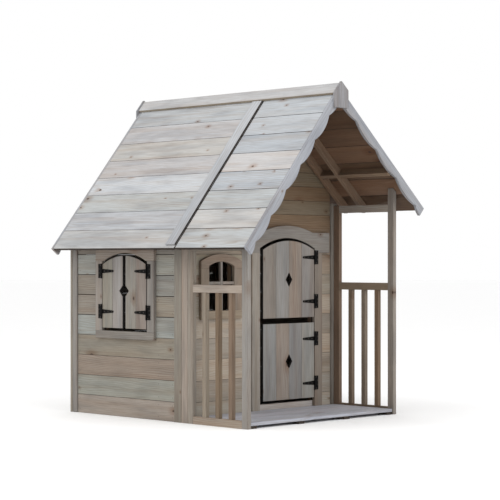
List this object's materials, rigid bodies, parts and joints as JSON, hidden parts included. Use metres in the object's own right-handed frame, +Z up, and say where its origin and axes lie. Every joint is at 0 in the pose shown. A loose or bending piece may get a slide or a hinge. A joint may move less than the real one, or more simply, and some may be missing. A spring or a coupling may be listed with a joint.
{
  "type": "wooden playhouse",
  "caption": "Timber garden playhouse with a covered porch, steep board roof with scalloped barge boards, a split stable door and a shuttered window, all on black T hinges.",
  "frame": {"origin": "on the ground under the middle of the whole house, roof overhangs included", "axes": "+Z up, +Y from the porch towards the back wall, +X to the right as seen from the front"},
  "size_m": [1.51, 1.692, 1.933],
  "materials": {
    "cladding": "planed fir boards, unfinished",
    "roof_board": "planed fir boards, unfinished",
    "roof_trim": "planed fir boards, unfinished",
    "trim": "planed fir, unfinished",
    "leaf_board": "planed fir boards, unfinished",
    "floor_board": "planed fir boards, unfinished",
    "framing": "sawn fir battens, unfinished",
    "black_hinge": "black powder coat",
    "black_screw": "black coated steel"
  },
  "bodies": {
    "house": {"back_wall_boards": "cladding", "back_wall_frame": "framing", "barge_boards": "roof_trim", "corner_posts": "trim", "corner_trims": "trim", "door_frame_head": "trim", "door_frame_jambs": "trim", "door_hinge_plates": "black_hinge", "door_threshold": "floor_board", "floor_bearers": "floor_board", "front_wall_boards": "cladding", "front_wall_frame": "framing", "front_window_bars": "trim", "front_window_head": "trim", "front_window_jambs": "trim", "front_window_sill": "trim", "hinge_pins": "black_hinge", "hinge_plate_screws": "black_screw", "left_fence_rails": "trim", "left_fence_spindles": "trim", "left_wall_boards": "cladding", "left_wall_frame": "framing", "porch_deck_boards": "floor_board", "porch_posts": "trim", "porch_top_rails": "trim", "porch_wall_stiles": "trim", "purlins": "framing", "rafters": "framing", "ridge_blocks": "roof_trim", "ridge_cap_boards": "roof_trim", "right_fence_rails": "trim", "right_fence_spindles": "trim", "right_wall_boards": "cladding", "right_wall_frame": "framing", "roof_left_front_boards": "roof_board", "roof_left_rear_boards": "roof_board", "roof_right_front_boards": "roof_board", "roof_right_rear_boards": "roof_board", "roof_seam_strips": "roof_trim", "room_floor_boards": "floor_board", "shutter_hinge_plates": "black_hinge", "side_window_head": "trim", "side_window_jambs": "trim", "side_window_sill": "trim"},
    "upper_door": {"upper_door_boards": "leaf_board", "upper_door_ledges": "leaf_board", "upper_door_hinge_straps": "black_hinge", "upper_door_strap_screws": "black_screw"},
    "lower_door": {"lower_door_boards": "leaf_board", "lower_door_ledges": "leaf_board", "lower_door_hinge_straps": "black_hinge", "lower_door_strap_screws": "black_screw"},
    "rear_shutter": {"rear_shutter_boards": "leaf_board", "rear_shutter_ledges": "leaf_board", "rear_shutter_hinge_straps": "black_hinge", "rear_shutter_strap_screws": "black_screw"},
    "front_shutter": {"front_shutter_boards": "leaf_board", "front_shutter_ledges": "leaf_board", "front_shutter_hinge_straps": "black_hinge", "front_shutter_strap_screws": "black_screw"}
  },
  "joints": [
    {"name": "upper_door_hinge", "type": "hinge", "parent": "house", "child": "upper_door", "pos_m": [0.407, -0.264, 0.8], "axis": [0, 0, 1], "range_deg": [0, 105]},
    {"name": "lower_door_hinge", "type": "hinge", "parent": "house", "child": "lower_door", "pos_m": [0.407, -0.264, 0.31], "axis": [0, 0, 1], "range_deg": [0, 105]},
    {"name": "rear_shutter_hinge", "type": "hinge", "parent": "house", "child": "rear_shutter", "pos_m": [-0.657, 0.475, 0.735], "axis": [0, 0, -1], "range_deg": [0, 170]},
    {"name": "front_shutter_hinge", "type": "hinge", "parent": "house", "child": "front_shutter", "pos_m": [-0.657, 0.08, 0.735], "axis": [0, 0, 1], "range_deg": [0, 170]}
  ]
}
